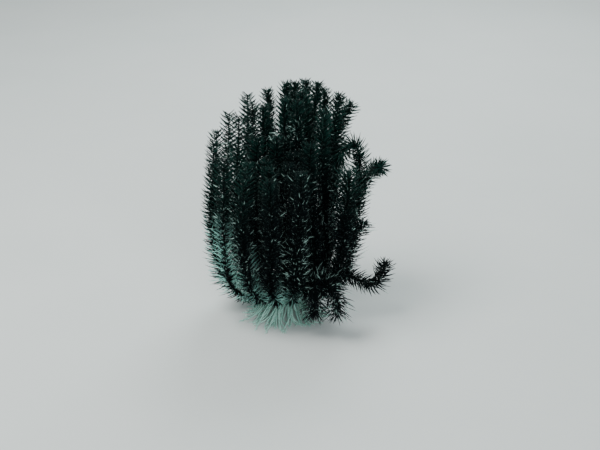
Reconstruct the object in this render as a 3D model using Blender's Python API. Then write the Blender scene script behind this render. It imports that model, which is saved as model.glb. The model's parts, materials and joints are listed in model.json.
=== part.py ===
"""A black bushy feather star, life size, standing on its cirri with its forty arms raised.

The animal is a comatulid crinoid. From the ground up it is a whorl of jointed cirri on a small
button, the centrodorsal; a cup of five rays that fork three times; a soft disc that covers the
forks; and forty arms, each a tapering rod with slender pinnules set alternately along both sides,
in four rows as a bushy animal holds them.
Lengths are in metres, +Z is up, +Y is the back of the animal and +X its right-hand side as seen
from the front. The first frame has its origin on the floor under the calyx, and the last step
moves all of it so that the origin is under the middle of the whole animal.
"""

import math
import random

import bmesh
import bpy
import numpy as np
from mathutils import Matrix, Vector

MM = 0.001
GAP = 0.3 * MM
SEED = 11

# The calyx: centrodorsal, cup and forks
RAYS = 5
ARMS_PER_RAY = 8
ARMS = RAYS * ARMS_PER_RAY
FIRST_RAY_DEG = 90.0
RAY_STEP_DEG = 360.0 / RAYS
ARM_STEP_DEG = 360.0 / ARMS
CENTRODORSAL_LOW = 16.0 * MM
CENTRODORSAL_HEIGHT = 5.0 * MM
CENTRODORSAL_RADII = (3.6 * MM, 5.6 * MM)
CUP_LOW = CENTRODORSAL_LOW + CENTRODORSAL_HEIGHT + GAP
CUP_HEIGHT = 5.4 * MM
CUP_RADII = (5.4 * MM, 9.4 * MM)
BRANCH_RADII = (3.4 * MM, 16.5 * MM)
BRANCH_HEIGHTS = (23.7 * MM, 24.6 * MM)
BRANCH_THICKNESS = (1.75 * MM, 2.25 * MM)
STUMP_THICKNESS = (1.5 * MM, 1.45 * MM)

# The soft disc over the forks
DISC_RADIUS = 18.0 * MM
DISC_HEIGHT = 6.5 * MM
DISC_LOBES = 0.07
ANAL_TUBE_HEIGHT = 7.0 * MM
ANAL_TUBE_RADIUS = 2.6 * MM

# Arms: four tiers, from the outer skirt to the core
RING_RADIUS = 27.0 * MM
TIER_PATTERN = (0, 1, 0, 2, 0, 1, 3, 0, 1, 2)
TIER_SPREAD = (1.0, 0.70, 0.42, 0.17)
TIER_RING_HEIGHT = (24.0 * MM, 26.5 * MM, 29.0 * MM, 30.5 * MM)
TIER_REACH = (39.0 * MM, 26.0 * MM, 14.0 * MM, 10.0 * MM)
TIER_LIFT_DEG = (-13.0, 14.0, 40.0, 58.0)
FRONT_LIFT_DEG = 32.0
LEFT_REACH = 0.30
LEFT_DROP_DEG = 8.0
BELLY = 0.98
LEFT_BELLY = 0.06
BUSH_HALF_WIDTH = 67.0 * MM
BUSH_HALF_DEPTH = 54.0 * MM
CROWN_MEAN = 175.0 * MM
CROWN_BACK = 25.0 * MM
CROWN_RIGHT = 4.0 * MM
INNER_RISE = 6.0 * MM
CROWN_VARIES = 6.0 * MM
ARM_ROOT_RADIUS = 1.45 * MM
ARM_TIP_RADIUS = 0.55 * MM
ARM_RINGS = 9
ARM_WAVE = 1.6 * MM
MOST_ROLL_DEG = 56.0
ROLL_VARIES_DEG = 13.0
SPLIT_RING = 3
SPLIT_ARMS = (10, 12, 14, 17, 20, 22, 24, 27, 28, 30, 31, 34, 35)

# Pinnules
PINNULE_STEP = 3.9 * MM
PINNULE_LENGTH = 12.5 * MM
PINNULE_RADIUS = 0.62 * MM
PINNULE_ROOT_SHARE = 0.58
PINNULE_SPREAD_DEG = 75.0
PINNULE_TIP_SPREAD_DEG = 54.0
PINNULE_FAN_DEG = 42.0
PINNULE_FAN_VARIES_DEG = 7.0
PINNULE_START = 9.0 * MM
PINNULE_LEAST = 3.0 * MM
PINNULE_MARGINS = (0.5 * MM, 1.5 * MM)
# (degrees that it is bent to the tip of the arm, share of its length), tried in turn
PINNULE_TRIES = ((0, 1), (12, 1), (24, 0.95), (0, 0.75), (28, 0.72), (34, 0.5), (0, 0.42))

# Cirri
CIRRI = 20
CIRRUS_RADII = (0.95 * MM, 0.62 * MM)
CIRRUS_REACH = 45.0 * MM
CIRRUS_ARCH = 19.5 * MM
CIRRUS_FLOOR = 0.45 * MM


def clear_scene():
    for obj in list(bpy.data.objects):
        bpy.data.objects.remove(obj)


def new_collection(name):
    collection = bpy.data.collections.new(name)
    bpy.context.scene.collection.children.link(collection)
    return collection


def material(name, colour, roughness):
    made = bpy.data.materials.new(name)
    made.use_nodes = True
    shader = made.node_tree.nodes["Principled BSDF"]
    shader.inputs["Base Color"].default_value = (*colour, 1.0)
    shader.inputs["Roughness"].default_value = roughness
    return made


def polar(radius, degrees, height):
    angle = math.radians(degrees)
    return Vector((radius * math.cos(angle), radius * math.sin(angle), height))


def bezier(controls, t):
    """The point at t, from 0 to 1, on the cubic with these four control points."""
    a, b, c, d = controls
    u = 1.0 - t
    return a * u**3 + b * (3 * u * u * t) + c * (3 * u * t * t) + d * t**3


# Routes of the arms


def arm_azimuth(k):
    """Where arm k leaves the ring, in degrees from +X towards +Y."""
    return FIRST_RAY_DEG - RAY_STEP_DEG / 2 + ARM_STEP_DEG * (k + 0.5)


def tier_of(k):
    return TIER_PATTERN[k % len(TIER_PATTERN)]


def tip_azimuth(k):
    """The arms of one tier share the circle evenly at their tips, close to where each one starts."""
    mates = [i for i in range(ARMS) if tier_of(i) == tier_of(k)]
    step = 360.0 / len(mates)
    drift = sum(arm_azimuth(i) - step * n for n, i in enumerate(mates)) / len(mates)
    return drift + step * mates.index(k)


def crown_height(degrees):
    """The height of the tips: tallest at the back, lowest at the front."""
    angle = math.radians(degrees)
    return CROWN_MEAN + CROWN_BACK * math.sin(angle) + CROWN_RIGHT * math.cos(angle)


def ring_point(k):
    return polar(RING_RADIUS, arm_azimuth(k), TIER_RING_HEIGHT[tier_of(k)])


def branch_end(k):
    """The far end of the branch of the ray that forks into two arms, one of them arm k."""
    return polar(BRANCH_RADII[1], arm_azimuth(k // 2 * 2) + ARM_STEP_DEG / 2, BRANCH_HEIGHTS[1])


def stump_direction(k):
    """The way the last piece of the ray points, which is the way the arm starts."""
    return (ring_point(k) - branch_end(k)).normalized()


def arm_start(k):
    """Just off the end of its stump, so that the faces meet with a thin gap."""
    return ring_point(k) + stump_direction(k) * GAP


# How far the ends of some arms in the plan stand off it, in millimetres
TIP_SHIFTS = {
    0: (-6, 0, -6),
    1: (12, 0, 6),
    2: (2, 0, 0),
    3: (7, 14, 4),
    4: (-9, 0, -3),
    5: (6, 0, 2),
    7: (-3, 0, -4),
    10: (0, 0, -7),
    11: (0, 0, 7),
    12: (0, 0, -4),
    30: (-3, 0, -16),
    33: (4, 0, 12),
    36: (-2, 0, 12),
    38: (10, 0, 6),
    39: (-8, 0, 2),
}


def arm_controls(k):
    """Four control points: out from the ring, a belly, and an upright end."""
    tier = tier_of(k)
    draw = random.Random(SEED * 100 + k)
    azimuth = tip_azimuth(k)
    angle = math.radians(azimuth)
    left = -math.cos(angle)
    spread = TIER_SPREAD[tier]
    outer = 1.0 if tier == 0 else 0.0
    lift = TIER_LIFT_DEG[tier] + outer * FRONT_LIFT_DEG * max(0.0, -math.sin(angle)) ** 2
    lift -= outer * LEFT_DROP_DEG * max(0.0, left)
    outward = polar(1.0, (arm_azimuth(k) + azimuth) / 2, math.tan(math.radians(lift)))
    way = (outward.normalized() + stump_direction(k) * 0.5).normalized()
    reach = TIER_REACH[tier] * (1.0 + outer * LEFT_REACH * left)
    foot = Vector((BUSH_HALF_WIDTH * math.cos(angle), BUSH_HALF_DEPTH * math.sin(angle), 0))
    foot *= spread
    height = crown_height(azimuth) + INNER_RISE * (1 - spread)
    height += CROWN_VARIES * draw.uniform(-1, 1)
    belly = foot * (BELLY + LEFT_BELLY * left) + Vector((0, 0, 0.5 * height))
    tip = foot * draw.uniform(0.94, 1.02) + Vector((0, 0, height))
    tip += Vector(TIP_SHIFTS.get(k, (0, 0, 0))) * MM
    return [arm_start(k), arm_start(k) + way * reach, belly, tip]


# Arms that leave the common plan, each with its last three control points in millimetres
STRAY_ARMS = {
    # rises along the right edge and hooks in over the bush
    34: ((72, 4, 38), (74, 6, 226), (42, 2, 140)),
    # comes up behind that one, leans out to the right, and its end points forwards
    35: ((44, 20, 60), (74, 52, 128), (82, 0, 141)),
    # hangs down at the right and turns up again at its end
    31: ((62, -20, 70), (80, -20, 2), (87, -16, 54)),
    # stays behind the hook and leans out over it at the crown
    37: ((55, 22, 56), (26, 41, 136), (57, 33, 188)),
    # ends low at the right edge
    32: ((60, -14, 14), (52, -16, 84), (68, -14, 94)),
    # two that hang forwards, low at the front right
    28: ((28, -44, 46), (46, -60, 66), (42, -56, 22)),
    27: ((16, -44, 44), (26, -64, 64), (22, -48, 19)),
}


def stray_controls(k):
    return [arm_start(k)] + [Vector(point) * MM for point in STRAY_ARMS[k]]


def arm_route(k, samples):
    """Points along arm k, from its root to its tip, with a slight sway to the sides."""
    controls = stray_controls(k) if k in STRAY_ARMS else arm_controls(k)
    draw = random.Random(SEED * 1000 + k)
    phase = draw.uniform(0, 2 * math.pi)
    waves = draw.uniform(0.8, 1.5)
    side = polar(1.0, tip_azimuth(k) + 90.0, 0.0)
    points = []
    for i in range(samples):
        t = i / (samples - 1)
        sway = ARM_WAVE * math.sin(2 * math.pi * waves * t + phase) * min(1.0, 3.0 * t * t)
        points.append(bezier(controls, t) + side * sway)
    return points


# Arms whose feathers lie in the plane of their bend, which looks to the front
FLAT_ARMS = (31, 34)


def feather_line(k):
    """A level vector along the feather of arm k: round the bush, but rolled towards its front."""
    around = tip_azimuth(k) + 90.0
    off_front = (around + 90.0) % 180.0 - 90.0
    roll = max(-MOST_ROLL_DEG, min(MOST_ROLL_DEG, off_front))
    draw = random.Random(SEED * 300 + k)
    return polar(1.0, around - roll + ROLL_VARIES_DEG * draw.uniform(-1, 1), 0.0)


def square_to(vector, way):
    return (vector - way * vector.dot(way)).normalized()


def facing_at(k, way):
    """The way to the left-hand pinnules of arm k where it points this way."""
    if k in FLAT_ARMS:
        return Vector((0, -1, 0)).cross(way).normalized()
    return square_to(feather_line(k), way)


def rod_side(k, points):
    """The way that one flat side of the rod of arm k looks, at the first of these points.

    The facing holds at the middle point and is carried back from there. The rod is then turned
    by an eighth, so that each of its four sides carries one row of pinnules.
    """
    ways = [(b - a).normalized() for a, b in zip(points[:-1], points[1:])]
    middle = len(points) // 2
    side = facing_at(k, ways[middle])
    for way in reversed(ways[:middle]):
        side = square_to(side, way)
    return Matrix.Rotation(math.radians(45.0), 3, ways[0]) @ side


def arm_radius(share):
    """The arm's radius at a share of its length: it tapers slowly, then quickly at the end."""
    return ARM_ROOT_RADIUS + (ARM_TIP_RADIUS - ARM_ROOT_RADIUS) * share**1.1


# Shapes


def link(name, mesh, collection):
    obj = bpy.data.objects.new(name, mesh)
    collection.objects.link(obj)
    return obj


def halfway(points, i):
    """The normal of the plane through point i that halves the bend there."""
    before = (points[i] - points[max(i - 1, 0)]).normalized()
    after = (points[min(i + 1, len(points) - 1)] - points[i]).normalized()
    return (before + after).normalized()


def square_rings(points, radii, side, first=None, last=None):
    """Four corners at each point of a tapering rod whose long faces are flat.

    Each length of the rod is part of a pyramid on the line between two points, and the plane
    that halves the bend there cuts it. Two of its faces look along the side direction. The
    normals first and last tilt the end faces, which are else square to the rod.
    """
    way = (points[1] - points[0]).normalized()
    across = square_to(side, way)
    other = way.cross(across)
    half = radii[0] / math.sqrt(2.0)
    signs = ((1, 1), (-1, 1), (-1, -1), (1, -1))
    normal = first or way
    ring = []
    for x, y in signs:
        corner = across * (x * half) + other * (y * half)
        ring.append(points[0] + corner - way * (corner.dot(normal) / way.dot(normal)))
    rings = [ring]
    for i in range(1, len(points)):
        way = points[i] - points[i - 1]
        apex = points[i - 1] + way * (radii[i - 1] / (radii[i - 1] - radii[i]))
        normal = last if last and i == len(points) - 1 else halfway(points, i)
        ring = []
        for corner in rings[-1]:
            run = apex - corner
            ring.append(corner + run * ((points[i] - corner).dot(normal) / run.dot(normal)))
        rings.append(ring)
    return rings


def sweep(name, rings, collection):
    """A rod through rings of four corners: a cube whose far face is extruded ring by ring."""
    shape = bmesh.new()
    bmesh.ops.create_cube(shape, size=2.0)
    far = max(shape.faces, key=lambda face: face.calc_center_median().z)
    order = {(1, 1): 0, (-1, 1): 1, (-1, -1): 2, (1, -1): 3}
    corner = {v: order[round(v.co.x), round(v.co.y)] for v in shape.verts}
    for v, c in corner.items():
        v.co = rings[1][c] if v in far.verts else rings[0][c]
    for ring in rings[2:]:
        before = {tuple(v.co): corner[v] for v in far.verts}
        far = bmesh.ops.extrude_discrete_faces(shape, faces=[far])["faces"][0]
        for v in far.verts:
            corner[v] = before[tuple(v.co)]
        for v in far.verts:
            v.co = ring[corner[v]]
    mesh = bpy.data.meshes.new(name)
    shape.to_mesh(mesh)
    shape.free()
    return link(name, mesh, collection)


def cone(name, start, end, radii, sides, collection):
    """A straight tapering rod from start to end. A second radius of 0 makes a point."""
    shape = bmesh.new()
    way = end - start
    bmesh.ops.create_cone(
        shape, cap_ends=True, segments=sides, radius1=radii[0], radius2=radii[1], depth=way.length
    )
    turn = way.to_track_quat("Z", "Y").to_matrix().to_4x4()
    place = Matrix.Translation((start + end) / 2) @ turn
    bmesh.ops.transform(shape, matrix=place, verts=shape.verts)
    mesh = bpy.data.meshes.new(name)
    shape.to_mesh(mesh)
    shape.free()
    return link(name, mesh, collection)


def fuse(base, pieces, solver="EXACT"):
    """Joins every object of the collection pieces to base, as one mesh, and removes them."""
    joined = base.modifiers.new("join", "BOOLEAN")
    joined.operation = "UNION"
    joined.operand_type = "COLLECTION"
    joined.collection = pieces
    joined.solver = solver
    bpy.context.view_layer.update()
    graph = bpy.context.evaluated_depsgraph_get()
    mesh = bpy.data.meshes.new_from_object(base.evaluated_get(graph))
    base.modifiers.clear()
    base.data = mesh
    for obj in list(pieces.objects):
        bpy.data.objects.remove(obj)
    bpy.data.collections.remove(pieces)


def keep_above(obj, point, normal):
    """Cuts obj by a plane, keeps the side that the normal points to, and closes the cut."""
    shape = bmesh.new()
    shape.from_mesh(obj.data)
    cut = bmesh.ops.bisect_plane(
        shape,
        geom=shape.verts[:] + shape.edges[:] + shape.faces[:],
        dist=GAP / 1000,
        plane_co=point,
        plane_no=normal,
        clear_inner=True,
    )
    edges = [item for item in cut["geom_cut"] if isinstance(item, bmesh.types.BMEdge)]
    if edges:
        bmesh.ops.holes_fill(shape, edges=edges, sides=0)
    shape.to_mesh(obj.data)
    shape.free()


def keep_largest(obj):
    """Keeps the largest closed surface of obj and drops the others."""
    shape = bmesh.new()
    shape.from_mesh(obj.data)
    left = set(shape.verts)
    islands = []
    while left:
        island = {left.pop()}
        edge = list(island)
        while edge:
            near = {e.other_vert(v) for v in edge for e in v.link_edges} - island
            island |= near
            edge = list(near)
        left -= island
        islands.append(island)
    islands.sort(key=len)
    loose = [v for island in islands[:-1] for v in island]
    bmesh.ops.delete(shape, geom=loose, context="VERTS")
    shape.to_mesh(obj.data)
    shape.free()


# Keeping the pinnules of one node clear of everything else


class Space:
    """The tapering rods that are placed so far, each with the name of the node it belongs to."""

    def __init__(self):
        self.starts = np.zeros((0, 3))
        self.ends = np.zeros((0, 3))
        self.radii = np.zeros((0, 2))
        self.owners = np.zeros(0, dtype=object)

    def add(self, owner, starts, ends, radii):
        self.starts = np.vstack([self.starts, np.array(starts)])
        self.ends = np.vstack([self.ends, np.array(ends)])
        self.radii = np.vstack([self.radii, np.array(radii)])
        self.owners = np.append(self.owners, [owner] * len(starts))

    def add_route(self, owner, points, radii):
        pairs = list(zip(points[:-1], points[1:]))
        widths = list(zip(radii[:-1], radii[1:]))
        self.add(owner, [a for a, _ in pairs], [b for _, b in pairs], widths)

    def room(self, owner, start, end, radii):
        """The least distance between the surfaces of this rod and of the other nodes' rods."""
        others = self.owners != owner
        p, q = self.starts[others], self.ends[others]
        start, end = np.array(start), np.array(end)
        near = np.linalg.norm((p + q) / 2 - (start + end) / 2, axis=1)
        reach = np.linalg.norm(q - p, axis=1) / 2 + np.linalg.norm(end - start) / 2
        close = near < reach + 4 * MM
        if not close.any():
            return 4 * MM
        p, q, width = p[close], q[close], self.radii[others][close]
        d1, d2 = end - start, q - p
        r = start - p
        a, e = d1 @ d1, (d2 * d2).sum(1)
        f, c, b = (d2 * r).sum(1), r @ d1, d2 @ d1
        denominator = a * e - b * b
        safe = np.where(denominator > 1e-18, denominator, 1.0)
        s = np.where(denominator > 1e-18, np.clip((b * f - c * e) / safe, 0, 1), 0.0)
        t = np.clip((b * s + f) / e, 0, 1)
        s = np.clip((b * t - c) / a, 0, 1)
        apart = np.linalg.norm(
            (start + s[:, None] * d1) - (p + t[:, None] * d2), axis=1
        )
        mine = radii[0] + (radii[1] - radii[0]) * s
        theirs = width[:, 0] + (width[:, 1] - width[:, 0]) * t
        return float((apart - mine - theirs).min())


def pinnule_length(share, draw):
    """Short at the root of the arm, longest on its lower half, and shorter again at the end."""
    grown = min(1.0, 0.62 + share / 0.22 * 0.38)
    faded = 1.0 if share < 0.7 else 1.0 - 0.3 * (share - 0.7) / 0.3
    return PINNULE_LENGTH * grown * faded * draw.uniform(0.92, 1.08)


def lengths_along(points):
    along = [0.0]
    for a, b in zip(points[:-1], points[1:]):
        along.append(along[-1] + (b - a).length)
    return along


def pinnule_places(along, first):
    """(length of rod, distance on it) of each pinnule: even steps, off the bends of the rod."""
    last = along[-1] - PINNULE_MARGINS[1]
    count = int((last - first) / PINNULE_STEP)
    places = []
    for n in range(count):
        distance = first + (last - first) * (n + 0.5) / count
        i = max(m for m in range(len(along) - 1) if along[m] <= distance)
        low = along[i] + PINNULE_MARGINS[0]
        high = along[i + 1] - PINNULE_MARGINS[1]
        places.append((i, min(max(distance, low), high) - along[i]))
    return places


def grow_pinnules(name, k, points, rings, whole, offset, space):
    """Pinnules of one node, each bent or cut until it is clear of the other nodes.

    They grow to the left and right in turn, and fan out to the inner, oral side of the rod and
    to its outer side, so that each of its four flat sides carries a row. Each starts on the
    middle line of the rod, well inside it, and leans to its tip.
    """
    draw = random.Random(SEED * 10000 + k + int(offset * 1e4))
    pieces = new_collection(name + "_pinnules")
    along = lengths_along(points)
    first = max(PINNULE_START - offset, PINNULE_MARGINS[0])
    for n, (i, distance) in enumerate(pinnule_places(along, first)):
        share = (along[i] + distance + offset) / whole
        way = (points[i + 1] - points[i]).normalized()
        root = points[i] + way * distance
        corners = rings[i]
        line = square_to(corners[3] - corners[1], way)
        hand = -1.0 if n % 2 else 1.0
        fan = -PINNULE_FAN_DEG if n % 4 in (1, 2) else PINNULE_FAN_DEG
        lean = math.radians(fan + PINNULE_FAN_VARIES_DEG * draw.uniform(-1, 1))
        across = line * (hand * math.cos(lean)) + way.cross(line) * math.sin(lean)
        late = max(0.0, (share - 0.75) / 0.25)
        spread = PINNULE_SPREAD_DEG + (PINNULE_TIP_SPREAD_DEG - PINNULE_SPREAD_DEG) * late
        full = pinnule_length(share, draw)
        width = min(PINNULE_RADIUS, arm_radius(share) * PINNULE_ROOT_SHARE)
        for bend, cut in PINNULE_TRIES:
            angle = math.radians(spread - bend)
            grows = way * math.cos(angle) + across * math.sin(angle)
            tip = root + grows * (full * cut)
            if full * cut < PINNULE_LEAST or tip.z < width + GAP:
                continue
            if space.room(name, root, tip, (width, 0.0)) > GAP:
                cone("pinnule", root, tip, (width, 0.0), 3, pieces)
                space.add(name, [root], [tip], [(width, 0.0)])
                break
    return pieces


# The nodes


def ray_rods(ray):
    """The straight rods of one ray, as ends and radii: four branches with two stumps each.

    The first fork lies inside the cup. A branch widens to its end, so that both stumps leave
    its end face.
    """
    rods = []
    for k in range(ray * ARMS_PER_RAY, (ray + 1) * ARMS_PER_RAY):
        end = branch_end(k)
        if k % 2 == 0:
            foot = Vector((end.x, end.y, 0)).normalized() * BRANCH_RADII[0]
            foot.z = BRANCH_HEIGHTS[0]
            rods.append((foot, end, BRANCH_THICKNESS))
        rods.append((end - stump_direction(k) * MM, ring_point(k), STUMP_THICKNESS))
    return rods


def make_ray(ray, collection, space):
    name = f"ray_{ray + 1}"
    centre = FIRST_RAY_DEG + RAY_STEP_DEG * ray
    pieces = new_collection(name + "_forks")
    for start, end, widths in ray_rods(ray):
        side = (end - start).cross(Vector((0, 0, 1)))
        sweep("fork", square_rings([start, end], widths, side), pieces)
        space.add(name, [start], [end], [widths])
    low, high = Vector((0, 0, CUP_LOW)), Vector((0, 0, CUP_LOW + CUP_HEIGHT))
    cup = cone(name, low, high, CUP_RADII, 10, collection)
    cup.data.transform(Matrix.Rotation(math.radians(centre + 18.0), 4, "Z"))
    fuse(cup, pieces)
    for turn in (-RAY_STEP_DEG / 2, RAY_STEP_DEG / 2):
        edge = polar(1.0, centre + turn + (90.0 if turn < 0 else -90.0), 0.0)
        keep_above(cup, edge * (GAP / 2), edge)
    keep_largest(cup)
    return cup


def cirrus_route(n):
    """One cirrus: out of the button, over a low arch, and along the floor to its claw."""
    draw = random.Random(SEED * 77 + n)
    azimuth = 360.0 * n / CIRRI + draw.uniform(-3.5, 3.5)
    upper = n % 2
    reach = CIRRUS_REACH * draw.uniform(0.86, 1.08) * (1.0 if upper else 0.84)
    root = polar(3.0 * MM, azimuth, CENTRODORSAL_LOW + (3.6 if upper else 2.0) * MM)
    bend = azimuth + draw.uniform(-9, 9)
    controls = [
        root,
        polar(reach * 0.45, azimuth, CIRRUS_ARCH - (0.0 if upper else 4.0) * MM),
        polar(reach * 0.62, (azimuth + bend) / 2, CIRRUS_FLOOR * 1.6),
        polar(reach - 7.0 * MM, bend, CIRRUS_FLOOR),
    ]
    return [bezier(controls, t) for t in (0.0, 0.25, 0.5, 0.75, 1.0)] + [
        polar(reach, bend + 3.0, CIRRUS_FLOOR)
    ]


def make_centrodorsal(collection, space):
    name = "centrodorsal"
    low, high = Vector((0, 0, CENTRODORSAL_LOW)), Vector((0, 0, CUP_LOW - GAP))
    button = cone(name, low, high, CENTRODORSAL_RADII, 15, collection)
    space.add(name, [low], [high], [CENTRODORSAL_RADII])
    pieces = new_collection("cirri")
    for n in range(CIRRI):
        points = cirrus_route(n)
        steps = len(points) - 1
        thick, thin = CIRRUS_RADII
        radii = [thick + (thin - thick) * i / steps for i in range(steps + 1)]
        side = (points[1] - points[0]).cross(Vector((0, 0, 1)))
        sweep("cirrus", square_rings(points, radii, side), pieces)
        space.add_route(name, points, radii)
    fuse(button, pieces)
    keep_above(button, Vector((0, 0, 0)), Vector((0, 0, 1)))
    keep_largest(button)
    return button


def make_disc(collection, space):
    """A low five-lobed dome with a shallow groove to each ray and the anal tube off its middle."""
    floor = CUP_LOW + CUP_HEIGHT + GAP
    shape = bmesh.new()
    bmesh.ops.create_uvsphere(shape, u_segments=20, v_segments=10, radius=1.0)
    for v in shape.verts:
        angle = math.atan2(v.co.y, v.co.x) - math.radians(FIRST_RAY_DEG)
        lobe = 1.0 - DISC_LOBES * math.cos(RAYS * angle)
        rise = 1.0 - 0.14 * math.cos(RAYS * angle) * math.hypot(v.co.x, v.co.y)
        v.co.x *= DISC_RADIUS * lobe
        v.co.y *= DISC_RADIUS * lobe
        v.co.z *= DISC_HEIGHT * rise
    mesh = bpy.data.meshes.new("disc")
    shape.to_mesh(mesh)
    shape.free()
    mesh.transform(Matrix.Translation((0, 0, floor)))
    disc = link("disc", mesh, collection)
    pieces = new_collection("anal_tube")
    foot = Vector((2.5 * MM, -1.5 * MM, floor + DISC_HEIGHT * 0.5))
    top = foot + Vector((0, 0, DISC_HEIGHT * 0.5 + ANAL_TUBE_HEIGHT))
    cone("tube", foot, top, (ANAL_TUBE_RADIUS, ANAL_TUBE_RADIUS * 0.5), 8, pieces)
    fuse(disc, pieces)
    keep_above(disc, Vector((0, 0, floor)), Vector((0, 0, 1)))
    space.add("disc", [foot], [top], [(ANAL_TUBE_RADIUS, ANAL_TUBE_RADIUS)])
    for n in range(20):
        middle = Vector((0, 0, floor + 2 * MM))
        edge = polar(DISC_RADIUS - 2.5 * MM, 18.0 * n, floor + 1.5 * MM)
        space.add("disc", [middle], [edge], [(DISC_HEIGHT, 3.0 * MM)])
    return disc


def arm_nodes(k):
    """(name, first ring, last ring) of each node of arm k. Arms that bend most have two."""
    name = f"arm_{k + 1:02d}"
    if k not in SPLIT_ARMS:
        return [(name, 0, ARM_RINGS - 1)]
    return [(name, 0, SPLIT_RING), (name + "_end", SPLIT_RING, ARM_RINGS - 1)]


def arm_stretch(k, first, last):
    """The points, radii and end normals of one node of arm k, with the gap at a split."""
    points = arm_route(k, ARM_RINGS)
    radii = [arm_radius(i / (ARM_RINGS - 1)) for i in range(ARM_RINGS)]
    stretch, widths = points[first : last + 1], radii[first : last + 1]
    ends = (halfway(points, first) if first else stump_direction(k), halfway(points, last))
    if first:
        stretch[0] = stretch[0] + ends[0] * GAP
    return stretch, widths, ends


def make_arms(collection, space):
    made = []
    for k in range(ARMS):
        for name, first, last in arm_nodes(k):
            points, radii, _ = arm_stretch(k, first, last)
            space.add_route(name, points, radii)
    for k in range(ARMS):
        whole = lengths_along(arm_route(k, ARM_RINGS))
        for name, first, last in arm_nodes(k):
            points, radii, ends = arm_stretch(k, first, last)
            rings = square_rings(points, radii, rod_side(k, points), *ends)
            rod = sweep(name, rings, collection)
            pieces = grow_pinnules(name, k, points, rings, whole[-1], whole[first], space)
            fuse(rod, pieces)
            keep_above(rod, Vector((0, 0, 0)), Vector((0, 0, 1)))
            keep_largest(rod)
            made.append(rod)
    return made


def centre_on_footprint(objects):
    """Moves everything so that the origin is under the middle of the whole animal."""
    corners = np.array([v.co for obj in objects for v in obj.data.vertices])
    low, high = corners.min(axis=0), corners.max(axis=0)
    shift = Vector((-(low[0] + high[0]) / 2, -(low[1] + high[1]) / 2, -low[2]))
    for obj in objects:
        obj.data.transform(Matrix.Translation(shift))
    return shift


def main():
    clear_scene()
    animal = new_collection("feather_star")
    black = material("black_arm", (0.012, 0.020, 0.021), 0.55)
    pale = material("pale_cirri", (0.42, 0.62, 0.56), 0.6)
    skin = material("dark_disc", (0.020, 0.024, 0.024), 0.5)
    space = Space()
    centrodorsal = make_centrodorsal(animal, space)
    rays = [make_ray(ray, animal, space) for ray in range(RAYS)]
    disc = make_disc(animal, space)
    arms = make_arms(animal, space)
    centrodorsal.data.materials.append(pale)
    disc.data.materials.append(skin)
    for obj in rays + arms:
        obj.data.materials.clear()
        obj.data.materials.append(black)
    shift = centre_on_footprint([centrodorsal, disc, *rays, *arms])
    print("calyx axis at", [round(v, 5) for v in shift])


main()
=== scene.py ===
# %% [markdown]
# # A black bushy feather star
# A feather star is a relative of the starfish. It stands on small jointed legs, the cirri, which
# grow from a button under its cup. Five rays leave the cup and fork into forty arms, and each arm
# is a feather: thin side branches, the pinnules, stand along it to the left and right. Thousands
# of them close up into a dark bush. The solids of the model are in place when this lesson starts.
# It clothes them in skin, joints and pinnules, and works in metres where it doesn't say otherwise.

# %% Load the solids and note the size of their box
import json
import math
import random

import bmesh
import bpy
from mathutils import Matrix, Vector, noise


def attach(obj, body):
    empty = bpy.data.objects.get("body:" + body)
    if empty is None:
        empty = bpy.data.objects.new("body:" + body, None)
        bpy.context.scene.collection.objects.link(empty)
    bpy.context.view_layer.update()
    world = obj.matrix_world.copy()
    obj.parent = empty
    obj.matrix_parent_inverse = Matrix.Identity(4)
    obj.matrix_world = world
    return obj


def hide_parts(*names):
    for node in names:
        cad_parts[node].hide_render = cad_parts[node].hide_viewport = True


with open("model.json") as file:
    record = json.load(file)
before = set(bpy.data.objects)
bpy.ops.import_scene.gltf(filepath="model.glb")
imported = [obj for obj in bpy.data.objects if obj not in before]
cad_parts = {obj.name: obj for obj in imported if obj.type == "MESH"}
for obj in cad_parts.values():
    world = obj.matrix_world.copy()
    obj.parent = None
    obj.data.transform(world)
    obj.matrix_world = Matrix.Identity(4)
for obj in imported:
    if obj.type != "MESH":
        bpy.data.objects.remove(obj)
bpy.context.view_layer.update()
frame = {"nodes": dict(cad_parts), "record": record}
MM = 0.001

# %% [markdown]
# ## Where the calyx stands
# The calyx is the middle of the animal: button, cup and forks. The bush leans a little, so the
# calyx stands beside the origin. The record of the model says where: its one mount is the
# underside of the button. All that follows is laid out round the calyx, and moved there when its
# mesh is made.

# %% The axis of the calyx
CALYX = Vector((*frame["record"]["mounts"][0]["pos_m"][:2], 0.0))
SEED = 11
ARMS = 40
RAYS = 5
FIRST_RAY_DEG = 90.0
RAY_STEP_DEG = 360.0 / RAYS
ARM_STEP_DEG = 360.0 / ARMS


def polar(radius, degrees, height):
    """The point at a distance from the axis, an angle round it and a height."""
    angle = math.radians(degrees)
    return Vector((radius * math.cos(angle), radius * math.sin(angle), height))


def away_from_axis(point):
    """The level way from the axis to this point."""
    return Vector((point.x, point.y, 0)).normalized()


def between(ends, share):
    """The value at a share of the way from one end to the other."""
    return ends[0] + (ends[1] - ends[0]) * share


def fade(span, value):
    """0 at the first end of the span and beyond it, 1 at the second, and smooth between."""
    t = min(1.0, max(0.0, (value - span[0]) / (span[1] - span[0])))
    return t * t * (3.0 - 2.0 * t)


def zone(point, **spans):
    """1 inside a zone and 0 outside. It fades in over each span, in millimetres along its way."""
    x, y, z = (part / MM for part in point)
    ways = {"left": -x, "right": x, "front": -y, "back": y, "up": z, "out": point.length / MM}
    return math.prod(fade(span, ways[name]) for name, span in spans.items())


def bezier(controls, t):
    """The point at t, from 0 to 1, on the cubic with these four control points."""
    a, b, c, d = controls
    u = 1.0 - t
    return a * u**3 + b * (3 * u * u * t) + c * (3 * u * t * t) + d * t**3


print("calyx at", [round(x, 5) for x in CALYX])

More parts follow.
